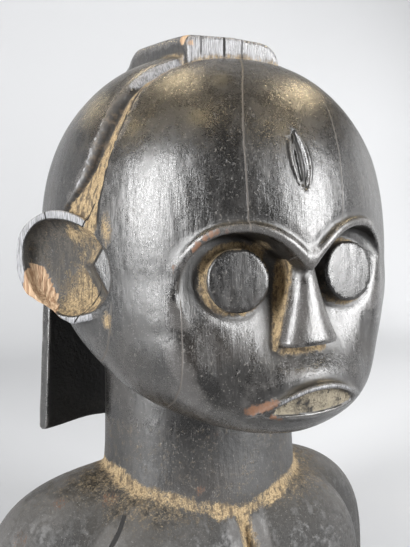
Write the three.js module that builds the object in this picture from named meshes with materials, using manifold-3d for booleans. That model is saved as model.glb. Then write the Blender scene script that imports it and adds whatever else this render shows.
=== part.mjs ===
// Carved wooden guardian figure for a reliquary, head and shoulders, cut flat below the armpits.
// Millimetres, +Z up. The face looks towards -Y and the neck's axis is the Z axis.
// The origin lies on the underside, where the neck's axis meets it.
import * as THREE from 'three';
import { mergeVertices } from 'three/addons/utils/BufferGeometryUtils.js';
import Module from 'manifold-3d';

// Head
const headCentre = new THREE.Vector3(-2.3, -40, 216);
const headTiltDeg = 3.7;
const skullHalfWidth = 96;
const skullFront = 101;
const skullTop = 113;
const chinDrop = 83;
const jawShift = 62;
const jawDepthShare = 0.92;
const cheekPower = 1.84;

// Coiffure: a thick cap behind a transverse edge, a block crest and a flap over the nape
const capHalfWidth = 98;
const capHalfDepth = 94;
const capCentreY = 12;
const capTop = 121;
const capEdgeY = -27;
const capEdgeLeanDeg = 7;
const capHemZ = 12;
const capHemSlopeDeg = 12;
const grooveDepth = 8;
const crestWidth = 54;
const crestBackWidth = 62;
const crestFrontY = -38.5;
const crestBackY = 57;
const crestFrontZ = 121;
const crestBackZ = 141;
const crestCorner = 12;
const ridgeWidth = 58;
const ridgeRise = 7;
const ridgeTop = 134;
const ridgeMiddleY = 52;
const flapThickness = 8;
const flapHalfTop = 90;
const flapHalfBottom = 101;
const flapSideY = 82;
const flapBackY = 107;
const flapTopZ = 0;
const flapBottomZ = -101;

// Face
const floorAtEyes = -77.5;
const floorBendZ = 0;
const floorCurve = 0.0065;
const muzzleZ = -58;
const chinSlope = 0.4;
const browTipZ = -3;
const browArchX = 31;
const browArchZ = 16;
const browHalfSpan = 57;
const browBand = 4.5;
const browRise = 1.8;
const browEndZ = -12;
const eyeX = 30.5;
const eyeY = -86.5;
const eyeZ = -5.5;
const eyeRadius = 14.3;
const eyeDepth = 14;
const eyeYawDeg = 11;
const noseRootZ = 2;
const noseBaseZ = -37.5;
const noseRootHalf = 6.5;
const noseBaseHalf = 15.5;
const noseRootY = -92;
const noseFrontY = -102;
const mouthZ = -66;
const mouthHalf = 24;
const mouthUpper = 6.5;
const mouthLower = 4.5;
const lipWidth = 3.4;
const lipFrontY = -101;
const lipFrontZ = -57;
const lipBend = 60;
const lipTiltDeg = 25;
const mouthRecess = 5;
const scarTopZ = 62;
const scarBottomZ = 33;
const scarHalf = 3.6;
const scarDepth = 2.2;

// Ears: shells that open forwards and outwards
const earRadius = 27;
const earReach = 1.12;
const earX = 99;
const earY = -26;
const earZ = 5.5;
const earDepth = 18;
const earBowlDepth = 9;
const earRim = 4.6;
const earTurnDeg = 49;
const tragusTip = 18;
const tragusThickness = 7;
const breakDepth = 6.5;

// Neck, chest and shoulders
const neckHalfWidth = 62;
const neckHalfDepth = 55;
const neckCentreY = -2;
const neckTopZ = 215;
const shoulderHalfWidth = 130;
const shoulderHalfDepth = 50;
const shoulderCentre = [-6, 0, 10];
const shoulderRise = 84;
const shoulderPower = 3.2;
const backCentre = [-4, 14, 10];
const backRadii = [98, 50, 76];
const breastCentre = [44, -24, 26];
const breastRadii = [50, 50, 57];
const trunkPower = 2.3;
const roomSize = 500;

const rad = THREE.MathUtils.degToRad;
const lerp = THREE.MathUtils.lerp;
const wasm = await Module();
wasm.setup();

// Solids and meshes
function solidOf(geometry) {
  const bare = geometry.clone();
  bare.deleteAttribute('normal');
  bare.deleteAttribute('uv');
  const merged = mergeVertices(bare, 1e-4);
  const triangles = [];
  const index = merged.index.array;
  for (let i = 0; i < index.length; i += 3) {
    const [a, b, c] = [index[i], index[i + 1], index[i + 2]];
    if (a !== b && b !== c && c !== a) triangles.push(a, b, c);
  }
  return new wasm.Manifold(new wasm.Mesh({
    numProp: 3,
    vertProperties: new Float32Array(merged.attributes.position.array),
    triVerts: new Uint32Array(triangles),
  }));
}

function geometryOf(solid) {
  const mesh = solid.getMesh();
  const geometry = new THREE.BufferGeometry();
  geometry.setAttribute('position', new THREE.BufferAttribute(new Float32Array(mesh.vertProperties), 3));
  geometry.setIndex(new THREE.BufferAttribute(new Uint32Array(mesh.triVerts), 1));
  return geometry;
}

function reshape(geometry, move) {
  const position = geometry.attributes.position;
  const point = new THREE.Vector3();
  for (let i = 0; i < position.count; i += 1) {
    point.fromBufferAttribute(position, i);
    move(point);
    position.setXYZ(i, point.x, point.y, point.z);
  }
  return geometry;
}

function prism(shape, depth, curveSegments = 10) {
  return new THREE.ExtrudeGeometry(shape, { depth, bevelEnabled: false, curveSegments }).rotateX(Math.PI / 2);
}

// A unit ball whose poles lie on Z
function ball(around, upright) {
  return new THREE.SphereGeometry(1, around, upright).rotateX(Math.PI / 2);
}

function superRadius(share, power) {
  return Math.max(0, 1 - Math.abs(share) ** power) ** (1 / power);
}

// Head
function skull() {
  return reshape(ball(52, 36), (p) => {
    const rise = THREE.MathUtils.clamp(p.z, -1, 1);
    const angle = Math.atan2(p.y, p.x) - 0.3 * Math.sin(Math.atan2(p.y, p.x) + Math.PI / 2);
    const upper = rise > 0;
    const ring = upper ? superRadius(rise, 2.4) : superRadius(rise, 2);
    const drop = upper ? 0 : -rise;
    const power = lerp(cheekPower, 2, THREE.MathUtils.clamp(2.2 * rise, 0, 1));
    const corner = Math.sin(angle) > 0 ? 1 : superCorner(angle, power);
    const shift = -jawShift * drop ** 1.4;
    const depth = skullFront * (1 - (1 - jawDepthShare) * Math.min(1, 3 * drop));
    p.set(
      skullHalfWidth * ring * corner * Math.cos(angle),
      shift + depth * ring * corner * Math.sin(angle),
      rise * (upper ? skullTop : chinDrop),
    );
  });
}

// The scooped face: its floor comes forward below the eyes, and the arched brow line ends it above
function faceFloor(z) {
  const down = Math.max(0, floorBendZ - Math.max(z, muzzleZ));
  return floorAtEyes - floorCurve * down * down + chinSlope * Math.max(0, muzzleZ - z);
}

function browArea(grow, lowZ) {
  const span = browHalfSpan + grow;
  const arch = browArchZ + grow;
  const tip = browTipZ + 1.6 * grow;
  const outline = new THREE.Shape();
  outline.moveTo(0, tip);
  outline.bezierCurveTo(5, tip + 7, 18, arch, browArchX, arch);
  outline.bezierCurveTo(47, arch, span, 4, span, browEndZ);
  outline.lineTo(span - 2, lowZ);
  outline.lineTo(2 - span, lowZ);
  outline.lineTo(-span, browEndZ);
  outline.bezierCurveTo(-span, 4, -47, arch, -browArchX, arch);
  outline.bezierCurveTo(-18, arch, -5, tip + 7, 0, tip);
  return solidOf(prism(outline, 2 * skullFront));
}

function faceScoop() {
  const block = new THREE.BoxGeometry(roomSize, 2, 120, 1, 1, 24).translate(0, 0, muzzleZ + 20);
  const hollow = reshape(block, (p) => {
    p.y = p.y < 0 ? -roomSize : faceFloor(p.z);
  });
  return solidOf(hollow).intersect(browArea(0, -chinDrop));
}

// A thin raised band follows the brow line
function browRidge() {
  const proud = 1 + browRise / skullFront;
  return solidOf(skull().scale(proud, proud, 1)).intersect(browArea(browBand, browEndZ - 3));
}

function eyeDisc(side) {
  const disc = new THREE.CylinderGeometry(eyeRadius, eyeRadius, eyeDepth, 36);
  disc.translate(0, eyeDepth / 2, 0);
  disc.rotateZ(side * rad(eyeYawDeg));
  return solidOf(disc.translate(side * eyeX, eyeY, eyeZ));
}

// The nose is a wedge with a blunt flat end, wider and further out towards the bottom
function nose() {
  const height = noseRootZ - noseBaseZ;
  const rear = faceFloor(noseBaseZ) + 14;
  const wedge = new THREE.CylinderGeometry(1, 1, height, 28, 6).rotateX(Math.PI / 2);
  return solidOf(reshape(wedge, (p) => {
    const down = 0.5 - p.z / height;
    const half = lerp(noseRootHalf, noseBaseHalf, down ** 1.3);
    const front = lerp(noseRootY, noseFrontY, down ** 0.8);
    const width = Math.sign(p.x) * Math.abs(p.x) ** 0.7;
    const reach = p.y < 0 ? Math.abs(p.y) ** 0.6 : 0;
    p.set(half * width, lerp(rear, front, reach), noseRootZ - down * height);
  }));
}

function mouthArea(grow) {
  const half = mouthHalf + 2 * grow;
  const shape = new THREE.Shape();
  shape.moveTo(-half, 0);
  shape.quadraticCurveTo(0, 2 * (mouthUpper + grow), half, 0);
  shape.quadraticCurveTo(0, -2 * (mouthLower + grow), -half, 0);
  return solidOf(prism(shape, roomSize, 16).translate(0, -40, mouthZ));
}

// Lips follow the round of the jaw and fall back towards the chin
function mouthRound(inset) {
  const round = new THREE.CylinderGeometry(lipBend - inset, lipBend - inset, 120, 80).rotateX(Math.PI / 2);
  round.translate(0, lipBend, 0).rotateX(rad(lipTiltDeg));
  return solidOf(round.translate(0, lipFrontY, lipFrontZ));
}

function scar() {
  const tall = (scarTopZ - scarBottomZ) / 2;
  const leaf = new THREE.Shape();
  leaf.moveTo(0, tall);
  leaf.quadraticCurveTo(2 * scarHalf, 0, 0, -tall);
  leaf.quadraticCurveTo(-2 * scarHalf, 0, 0, tall);
  const floor = (z) => scarDepth - skullFront * superRadius(z / skullTop, 2.4);
  return solidOf(reshape(prism(leaf, 1, 8), (p) => {
    const outer = p.y < -0.5;
    p.z += (scarTopZ + scarBottomZ) / 2;
    p.y = floor(p.z) - (outer ? 20 : 0);
  }));
}

// Coiffure
function room() {
  return new THREE.BoxGeometry(roomSize, roomSize, roomSize);
}

// All that lies behind the cap's front edge, moved forwards by the given amount
function behindEdge(forward) {
  const half = room().translate(0, roomSize / 2, 0).rotateX(rad(capEdgeLeanDeg));
  return solidOf(half.translate(0, capEdgeY - forward, 30));
}

function cap() {
  const dome = reshape(ball(44, 26), (p) => {
    const angle = Math.atan2(p.y, p.x);
    const power = p.y < 0 ? 2.4 : 2.8;
    const corner = superCorner(angle, power);
    const ring = p.z > 0 ? superRadius(p.z, 2.5) : superRadius(p.z, 4);
    p.set(
      capHalfWidth * ring * corner * Math.cos(angle),
      capCentreY + capHalfDepth * ring * corner * Math.sin(angle),
      p.z * (p.z > 0 ? capTop : 60),
    );
  });
  const above = room().translate(0, 0, roomSize / 2).rotateX(-rad(capHemSlopeDeg));
  above.translate(0, capEdgeY, capHemZ);
  return solidOf(dome).intersect(behindEdge(0)).intersect(solidOf(above));
}

function superCorner(angle, power) {
  return (Math.abs(Math.cos(angle)) ** power + Math.abs(Math.sin(angle)) ** power) ** (-1 / power);
}

// A groove sinks the forehead in front of the cap, deepest above the ears
function groove() {
  const sunk = skull().scale(1 - grooveDepth / 60, 1.36 + (grooveDepth - 6) * 0.06, 0.96);
  const upper = solidOf(room().translate(0, 0, roomSize / 2 + capHemZ + 12));
  return behindEdge(30).intersect(upper).subtract(solidOf(sunk));
}

function crest() {
  const length = crestBackY - crestFrontY;
  const section = new THREE.Shape();
  section.moveTo(-1, 0);
  section.lineTo(1, 0);
  section.lineTo(0.98, 0.8);
  section.quadraticCurveTo(0.97, 1, 0.82, 1);
  section.lineTo(-0.82, 1);
  section.quadraticCurveTo(-0.97, 1, -0.98, 0.8);
  const bar = new THREE.ExtrudeGeometry(section, { depth: 1, steps: 12, bevelEnabled: false, curveSegments: 4 });
  return solidOf(reshape(bar.rotateX(Math.PI / 2), (p) => {
    const back = 1 + p.y;
    const half = lerp(crestWidth, crestBackWidth, back) / 2;
    const rounded = crestCorner * (Math.max(0, back - 0.75) / 0.25) ** 2;
    const top = lerp(crestFrontZ, crestBackZ, back ** 0.85) - rounded;
    const low = skullTop - 25;
    p.set(p.x * half, crestFrontY + back * length, p.z < 1e-6 ? low : lerp(top - 14, top, p.z));
  }));
}

// Behind the crest a lower ridge runs on over the crown and down the nape
function backRidge() {
  const reach = capCentreY + capHalfDepth + ridgeRise - ridgeMiddleY;
  const wheel = new THREE.CylinderGeometry(1, 1, ridgeWidth, 44).rotateZ(Math.PI / 2);
  return solidOf(reshape(wheel, (p) => {
    const corner = superCorner(Math.atan2(p.z, p.y), p.z > 0 ? 2.8 : 5);
    p.y = ridgeMiddleY + reach * corner * p.y;
    p.z *= corner * (p.z > 0 ? ridgeTop : 75);
  }));
}

// A stiff flap hangs behind the neck as wide as the head
function napeFlap() {
  const outer = [];
  const inner = [];
  const steps = 20;
  for (let i = 0; i <= steps; i += 1) {
    const x = 1 - 2 * i / steps;
    const y = flapBackY - (flapBackY - flapSideY) * Math.abs(x) ** 2.4;
    outer.push(new THREE.Vector2(x, y));
    inner.push(new THREE.Vector2(-x, y - flapThickness));
  }
  const outline = new THREE.Shape([...outer, ...inner]);
  const height = flapTopZ - flapBottomZ;
  const plate = new THREE.ExtrudeGeometry(outline, { depth: height, bevelEnabled: false, steps: 3 });
  return solidOf(reshape(plate.translate(0, 0, flapBottomZ), (p) => {
    p.x *= lerp(flapHalfTop, flapHalfBottom, (flapTopZ - p.z) / height);
  }));
}

// Ears, drawn for the figure's right side and mirrored: the bowl opens towards -Y before it is turned
function earPlace(solid, side) {
  const place = new THREE.Matrix4().makeRotationZ(-rad(earTurnDeg)).setPosition(-earX, earY, earZ);
  const placed = solid.transform(place.toArray());
  return side < 0 ? placed : placed.mirror([1, 0, 0]);
}

function earTurned(profile) {
  const points = profile.map(([r, depth]) => new THREE.Vector2(r, depth));
  return solidOf(reshape(new THREE.LatheGeometry(points, 34), (p) => {
    p.x *= p.x > 0 ? earReach : 1;
    p.z *= 1.03;
  }));
}

function earShell() {
  return earTurned([
    [0, 0],
    [earRadius, 0],
    [earRadius - 0.5, 0.25 * earDepth],
    [earRadius - 5, 0.62 * earDepth],
    [earRadius - 13, 0.9 * earDepth],
    [0, earDepth],
  ]);
}

function earBowl() {
  const inner = earRadius - earRim;
  return earTurned([
    [0, -earRadius],
    [inner, -earRadius],
    [inner, 0.3 * earBowlDepth],
    [inner - 3, 0.8 * earBowlDepth],
    [inner - 9, earBowlDepth],
    [0, earBowlDepth],
  ]);
}

function polygon(corners, depth) {
  return solidOf(prism(new THREE.Shape(corners.map(([x, y]) => new THREE.Vector2(x, y))), depth));
}

function tragus() {
  const tab = [[34, 17], [30, 17], [tragusTip, 2], [27, -17], [34, -17]];
  return polygon(tab, tragusThickness).translate([0, tragusThickness, 0]);
}

// The lower outer rim of the figure's right ear is broken away along a straight line
function earBreak() {
  const front = polygon([[-20, -6], [-25, -13], [-40, -40], [-2, -40], [-3, -23]], 40);
  const through = polygon([[-25, -13.5], [-40, -20], [-40, -50], [-2, -50], [-2, -29]], 100);
  return front.translate([0, breakDepth, 0]).add(through.translate([0, 50, 0]));
}

// Neck and body
function neck() {
  const profile = [
    new THREE.Vector2(0, 30),
    new THREE.Vector2(1.03, 30),
    new THREE.Vector2(1.01, 84),
    new THREE.Vector2(0.99, 104),
    new THREE.Vector2(0.985, 140),
    new THREE.Vector2(1, neckTopZ),
    new THREE.Vector2(0, neckTopZ),
  ];
  const column = new THREE.LatheGeometry(profile, 48).rotateX(Math.PI / 2);
  return solidOf(column.scale(neckHalfWidth, neckHalfDepth, 1).translate(0, neckCentreY, 0));
}

function shoulders() {
  return solidOf(reshape(ball(40, 26), (p) => {
    const angle = Math.atan2(p.y, p.x);
    const ring = superRadius(p.z, shoulderPower) * superCorner(angle, 2.2);
    p.set(
      shoulderCentre[0] + shoulderHalfWidth * ring * Math.cos(angle),
      shoulderCentre[1] + shoulderHalfDepth * ring * Math.sin(angle),
      shoulderCentre[2] + shoulderRise * p.z,
    );
  }));
}

function trunkMass(centre, radii) {
  return solidOf(reshape(ball(28, 18), (p) => {
    const angle = Math.atan2(p.y, p.x);
    const ring = superRadius(p.z, trunkPower) * superCorner(angle, trunkPower);
    p.set(
      centre[0] + radii[0] * ring * Math.cos(angle),
      centre[1] + radii[1] * ring * Math.sin(angle),
      centre[2] + radii[2] * p.z,
    );
  }));
}

function breast(side) {
  return trunkMass([side * breastCentre[0], breastCentre[1], breastCentre[2]], breastRadii);
}

// Assembly
function head() {
  const sunk = solidOf(skull()).subtract(groove()).add(browRidge()).subtract(faceScoop());
  const features = [
    eyeDisc(-1),
    eyeDisc(1),
    nose(),
    mouthArea(lipWidth).intersect(mouthRound(0)),
    cap(),
    crest(),
    backRidge(),
    napeFlap(),
    earPlace(earShell().subtract(earBreak()), -1),
    earPlace(earShell(), 1),
  ];
  let whole = features.reduce((all, next) => all.add(next), sunk);
  whole = whole.subtract(mouthArea(0).subtract(mouthRound(mouthRecess))).subtract(scar());
  for (const side of [-1, 1]) {
    whole = whole.subtract(earPlace(earBowl(), side)).add(earPlace(tragus(), side));
  }
  const place = new THREE.Matrix4().makeRotationY(-rad(headTiltDeg)).setPosition(headCentre);
  return whole.transform(place.toArray());
}

const aboveCut = solidOf(room().translate(0, 0, roomSize / 2));
const body = [neck(), shoulders(), trunkMass(backCentre, backRadii), breast(-1), breast(1)];
const figure = body.reduce((all, next) => all.add(next), head());
const wood = new THREE.MeshStandardMaterial({ color: 0x2b2724, roughness: 0.42, metalness: 0 });
const mesh = new THREE.Mesh(geometryOf(figure.intersect(aboveCut)), wood);
mesh.name = 'reliquary_figure';

const group = new THREE.Group();
group.add(mesh);
export default group;
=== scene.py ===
import math

import bmesh
import bpy
import numpy as np
from mathutils import Matrix, Vector


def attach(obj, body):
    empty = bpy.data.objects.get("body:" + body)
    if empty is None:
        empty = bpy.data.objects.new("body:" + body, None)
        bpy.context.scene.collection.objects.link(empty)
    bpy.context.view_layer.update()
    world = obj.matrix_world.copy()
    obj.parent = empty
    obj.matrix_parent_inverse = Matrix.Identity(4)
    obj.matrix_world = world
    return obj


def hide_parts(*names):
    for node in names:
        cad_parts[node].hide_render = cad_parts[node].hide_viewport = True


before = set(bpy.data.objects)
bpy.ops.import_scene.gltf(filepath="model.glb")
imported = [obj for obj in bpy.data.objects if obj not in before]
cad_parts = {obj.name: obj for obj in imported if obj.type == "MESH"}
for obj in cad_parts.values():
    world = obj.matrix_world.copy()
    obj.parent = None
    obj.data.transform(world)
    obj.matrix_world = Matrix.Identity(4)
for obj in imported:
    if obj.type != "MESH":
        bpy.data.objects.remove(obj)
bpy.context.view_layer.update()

MM = 0.001
VOXEL = 2.35
TRIANGLE_LIMIT = 196000

# The carving below is worked out in millimetres, the head in a frame of its own
HEAD_AT = (-2.3, -40.0, 216.0)
HEAD_LEAN = math.radians(3.7)
SKULL_HALF, SKULL_FRONT, SKULL_TOP, SKULL_MEAN, CHIN_DROP = 96.0, 101.0, 115.5, 98.0, 83.0
JAW_SHIFT, JAW_SHARE, CHEEK_POWER = 62.0, 0.92, 1.84
CAP_EDGE_Y, CAP_EDGE_LEAN = -27.0, math.tan(math.radians(7))
CAP_HEM_Z, CAP_HEM_FALL = 12.0, math.tan(math.radians(12))
CAP_MIDDLE, CAP_HALF, CAP_DEPTH, CAP_TOP, CAP_LOW = 12.0, 98.0, 94.0, 121.0, 60.0
CREST_FRONT, CREST_BACK, CREST_FOOT = -38.5, 57.0, 88.0
CREST_HALF, CREST_SPREAD, CREST_TOP, CREST_RISE, CREST_DROP = 27.0, 4.0, 121.0, 20.0, 12.0
RIDGE_MIDDLE, RIDGE_RADIUS, RIDGE_HALF, RIDGE_TOP, RIDGE_LOW = 52.0, 61.0, 29.0, 134.0, 75.0
FLAP_HALF, FLAP_SPREAD, FLAP_LOW, FLAP_TOP = 90.0, 11.0, 101.0, 8.0
FLAP_BACK, FLAP_BEND, FLAP_INSET, FLAP_HALF_THICK, FLAP_EDGE = 107.0, 25.0, 4.0, 4.2, 82.2
BROW_TIP, BROW_ARCH_X, BROW_ARCH_Z, BROW_SPAN, BROW_END = -3.0, 31.0, 16.0, 55.0, -12.0
EYE_X, EYE_Y, EYE_Z, EYE_RADIUS, EYE_YAW = 30.5, -86.5, -5.5, 14.7, math.radians(11)
EYE_DEPTH = 14.0
NOSE_ROOT, NOSE_BASE = 2.0, -37.5
NOSE_FRONT, NOSE_SWELL, NOSE_TOP_HALF, NOSE_FLARE = -90.5, 9.5, 7.0, 8.8
FACE_FLOOR, CHIN_CURL, CHIN_CURL_WIDTH, FACE_BACK = -77.5, -61.0, 7.0, -60.0
MOUTH_X, MOUTH_Z, MOUTH_HALF, MOUTH_UP, MOUTH_DOWN = 2.0, -67.4, 26.0, 10.0, 1.4
LIP_TILT, LIP_BEND = math.radians(25), 60.0
SCAR_Z, SCAR_TALL, SCAR_HALF = 47.5, 16.5, 3.5
EAR_AT, EAR_TURN = (-99.0, -26.0, 5.5), math.radians(49)
EAR_LEFT, EAR_RIGHT, EAR_TALL, EAR_DEPTH = 26.8, 33.0, 28.6, 18.0
BOWL_LEFT, BOWL_RIGHT, BOWL_TALL, BOWL_DEPTH = 22.0, 31.0, 24.3, 9.0

# The body, in the part's own frame
NECK_HALF, NECK_DEPTH, NECK_TOP = 62.0, 55.0, 205.0
SHOULDER_HALF, SHOULDER_TALL, SHOULDER_LIFT = 129.4, 84.0, 10.0
BREAST_X, BREAST_Y, BREAST_Z, BREAST_HALF, BREAST_TALL = 44.0, -24.0, 26.0, 50.0, 57.0
BLADE_DEPTH = 0.35


# Fields: how far a point lies outside a form
def smooth_max(a, b, blend):
    near = np.maximum(blend - np.abs(a - b), 0.0)
    return np.maximum(a, b) + near * near / (4.0 * blend)


def smooth_min(a, b, blend):
    return -smooth_max(-a, -b, blend)


def ramp(value, low, high):
    share = np.clip((value - low) / (high - low), 0.0, 1.0)
    return share * share * (3.0 - 2.0 * share)


def hump(value, middle, width):
    return np.exp(-(((value - middle) / width) ** 2))


def egg(x, y, z, half_x, half_y, half_z, ring_power, rise_power):
    a, b, c = np.abs(x) / half_x + 1e-5, np.abs(y) / half_y + 1e-5, np.abs(z) / half_z + 1e-5
    ring = (a ** ring_power + b ** ring_power) ** (1 / ring_power)
    size = (ring ** rise_power + c ** rise_power) ** (1 / rise_power)
    flat = size ** (1 - rise_power) * ring ** (rise_power - ring_power)
    slope_x = flat * a ** (ring_power - 1) / half_x
    slope_y = flat * b ** (ring_power - 1) / half_y
    slope_z = size ** (1 - rise_power) * c ** (rise_power - 1) / half_z
    return (size - 1.0) / np.sqrt(slope_x ** 2 + slope_y ** 2 + slope_z ** 2)


def knife_waves(x, y, z, length, seed):
    """Slow uneven waves that a blade leaves, from -1 to 1."""
    chance = np.random.default_rng(seed)
    total = 0.0
    for _ in range(6):
        way = chance.normal(size=3)
        way *= chance.uniform(0.7, 1.4) * 2 * math.pi / (length * np.linalg.norm(way))
        total = total + np.sin(x * way[0] + y * way[1] + 0.5 * z * way[2] + chance.uniform(0, 6.3))
    return total / 3.5


def to_head(points):
    x, y, z = (points[:, i] - HEAD_AT[i] for i in range(3))
    cos, sin = math.cos(HEAD_LEAN), math.sin(HEAD_LEAN)
    return x * cos + z * sin, y, z * cos - x * sin


def skull(x, y, z):
    drop = np.clip(-z / CHIN_DROP, 0.0, 1.3)
    shift = -JAW_SHIFT * drop ** 1.4
    depth = SKULL_FRONT * (1 - (1 - JAW_SHARE) * np.minimum(1.0, 3 * drop))
    across, along = np.abs(x) / SKULL_HALF + 1e-5, (y - shift) / depth
    front = CHEEK_POWER + (2 - CHEEK_POWER) * np.clip(2.2 * z / SKULL_TOP, 0.0, 1.0)
    power = np.where(along < 0, front, 2.0)
    ring = (across ** power + np.abs(along) ** power) ** (1 / power)
    upper = z > 0
    rise_power = np.where(upper, 2.4, 2.0)
    rise = np.abs(z) / np.where(upper, SKULL_TOP, CHIN_DROP) + 1e-5
    return SKULL_MEAN * ((ring ** rise_power + rise ** rise_power) ** (1 / rise_power) - 1.0)


def skull_core(points):
    x, y, z = to_head(points)
    return np.maximum(skull(x, y, z) + 3.2, -(y + 54.0))


def brow_line(x, z):
    """Distance above the brow line, below zero within the face."""
    x = np.sqrt(x * x + 3.0) - 1.7
    share = np.clip(x / BROW_ARCH_X, 0.0, 1.0)
    height = BROW_ARCH_Z - BROW_TIP
    line = BROW_TIP + height * (1 - (1 - share) ** 2.3)
    slope = height * 2.3 / BROW_ARCH_X * (1 - share) ** 1.3
    inner = (z - line) / np.sqrt(1 + slope ** 2)
    out = np.maximum(x - BROW_ARCH_X, 0.0) / (BROW_SPAN - BROW_ARCH_X)
    up = np.maximum(z - BROW_END, 0.0) / (BROW_ARCH_Z - BROW_END)
    reach = (BROW_ARCH_Z - BROW_END) - 4.0 * out / (out + up + 1e-6)
    outer = ((out ** 2.2 + up ** 2.2) ** (1 / 2.2) - 1.0) * reach
    closing = 0.3 * np.maximum(BROW_END - z, 0.0)
    return np.where(x < BROW_ARCH_X, inner, outer + closing)


def eye_frame(x, y, z):
    """Distance from an eye disc's axis, and depth behind its face."""
    across, behind = np.abs(x) - EYE_X, y - EYE_Y
    yaw = np.where(x > 0, 0.5 * EYE_YAW, EYE_YAW)
    cos, sin = np.cos(yaw), np.sin(yaw)
    side = across * cos + behind * sin
    return np.hypot(side, z - EYE_Z), behind * cos - across * sin


def face_floor(x, z):
    down = np.maximum(0.0, smooth_min(-z, 60.0, 9.0))
    curl = np.logaddexp(0.0, (CHIN_CURL - z) / CHIN_CURL_WIDTH)
    floor = FACE_FLOOR - 0.0065 * down ** 2 + 0.4 * CHIN_CURL_WIDTH * curl
    wide = np.abs(x)
    eye_level = ramp(z, -50.0, -8.0)
    outward = 0.2 * 6.0 * np.logaddexp(0.0, (wide - 34.0) / 6.0)
    floor = floor + eye_level * (outward - np.where(x > 0, 4.2, 1.2) * ramp(wide, 18.0, 48.0))
    floor = floor + wide ** 2 / 150.0 * ramp(-z, 22.0, 62.0)
    floor = floor + 3.0 * hump(wide, 13.0, 6.0) * hump(z, -3.0, 17.0)
    floor = floor - 2.0 * ramp(x, 40.0, 55.0) - 2.6 * hump(z, -52.0, 8.0) * hump(x, MOUTH_X, 22.0)
    round_eye = np.hypot(wide - EYE_X, z - EYE_Z)
    return floor + 0.7 * hump(round_eye, 16.8, 1.8)


def nose_width(z):
    """Middle and half width of the nose, and the share of the way down it."""
    down = np.clip((NOSE_ROOT - z) / (NOSE_ROOT - NOSE_BASE), 0.0, 1.0)
    return 3.5 - 1.0 * down, NOSE_TOP_HALF + NOSE_FLARE * down ** 1.5, down


def nose(x, y, z):
    middle, half, down = nose_width(z)
    rear = face_floor(np.zeros_like(z), z) + 4.0 - 3.0 * down
    front = NOSE_FRONT - NOSE_SWELL * down ** 0.8
    ahead = np.maximum(rear - y, 0.0) / (rear - front)
    across = x - middle + 2.0 * down * np.minimum(ahead, 1.0)
    capped = np.maximum(ahead - 0.42, 0.0) / 0.58
    body = ((np.abs(across) / half) ** 2.2 + capped ** 2.0) ** (1 / 2.1)
    sides = (body - 1.0) * half * 0.9
    ends = np.maximum(NOSE_BASE - z - 0.04 * (y + 95.0), z - NOSE_ROOT)
    return np.maximum(smooth_max(sides, ends, 3.6), y - FACE_BACK)


def mouth_lens(x, z, grow):
    """The arched outline of the mouth, or of the lips where it grows."""
    half = MOUTH_HALF + 1.7 * grow
    lens = 1 - np.minimum(((x - MOUTH_X) / half) ** 2, 3.0)
    above = z - MOUTH_Z - (MOUTH_UP + grow) * lens
    below = MOUTH_Z - z - (MOUTH_DOWN + grow) * lens
    return np.maximum(np.maximum(above, below) * 0.94, 0.5 * (np.abs(x - MOUTH_X) - half))


def lip_round(x, y, z):
    ahead, up = y + 101.0, z + 57.0
    turned = ahead * math.cos(LIP_TILT) + up * math.sin(LIP_TILT)
    return np.hypot(x, turned - LIP_BEND) - LIP_BEND


def scar_share(x, z):
    """One on the scar's middle line and zero at its border."""
    half = SCAR_HALF * np.clip(1 - ((z - SCAR_Z) / SCAR_TALL) ** 2, 0.02, 1.0)
    return 1 - np.abs(x) / half


def before_edge(y, z):
    """How far a point lies in front of the line that the cap's edge follows."""
    return -(y - CAP_EDGE_Y + (z - 30.0) * CAP_EDGE_LEAN)


def strip_front(z):
    """Where the crack in front of the ledge runs, by height, before the same line."""
    heights = [30.0, 47.0, 60.0, 67.0, 76.0, 83.0, 90.0, 101.0]
    return np.interp(z, heights, [19.0, 18.4, 17.0, 15.7, 13.0, 9.9, 6.4, 5.0])


def cap_front(z):
    """Where the front wall of the cap stands, by height, before the same line."""
    heights = [36.0, 40.0, 46.0, 53.0, 60.0, 68.0, 75.0, 83.0, 89.0, 99.0, 108.0]
    return np.interp(z, heights, [-6.6, -1.2, 3.8, 6.1, 6.8, 6.0, 4.8, 2.6, 1.4, -2.4, -5.0])


def ledge(x, y, z):
    """The sunk strip between forehead and cap, deepest above the ear."""
    rough = 0.3 * knife_waves(x, y, z, 7.0, 51)
    deep = np.interp(z, [26.0, 36.0, 41.0, 48.0, 60.0, 75.0, 90.0], [0.3, 0.8, 1.6, 3.0, 2.9, 2.5, 2.0])
    near_crack = ramp(before_edge(y, z), strip_front(z) - 7.0, strip_front(z))
    return skull(x, y, z) + deep * (1 - 0.6 * near_crack) + rough


def cap(x, y, z):
    back = np.where(y < CAP_MIDDLE, 2.4, 2.8)
    high = np.where(z > 0, CAP_TOP, CAP_LOW)
    dome = egg(x, y - CAP_MIDDLE, z, CAP_HALF, CAP_DEPTH, high, back, 2.5)
    hem = CAP_HEM_Z - (y - CAP_EDGE_Y) * CAP_HEM_FALL - z
    wall = before_edge(y, z) - cap_front(z) + 0.45 * knife_waves(x, y, z, 26.0, 5)
    return smooth_max(smooth_max(dome, wall, 1.8), hem, 3.0)


def crest(x, y, z):
    share = np.clip((y - CREST_FRONT) / (CREST_BACK - CREST_FRONT), 0.0, 1.0)
    half = CREST_HALF + CREST_SPREAD * share
    top = CREST_TOP + CREST_RISE * share ** 0.85 - CREST_DROP * (np.maximum(0.0, share - 0.75) / 0.25) ** 2
    top = top - 0.10 * np.maximum(x, 0.0)
    ends = smooth_max(CREST_FRONT - y - 0.03 * (z - 110.0), y - CREST_BACK, 4.0)
    corner = 1.6 + 2.0 * hump(x, -CREST_HALF, 7.0)
    along = smooth_max(np.abs(x) - half, z - top, 4.0 + 8.0 * ramp(x, 0.0, 15.0))
    return smooth_max(along, ends, corner)


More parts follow.
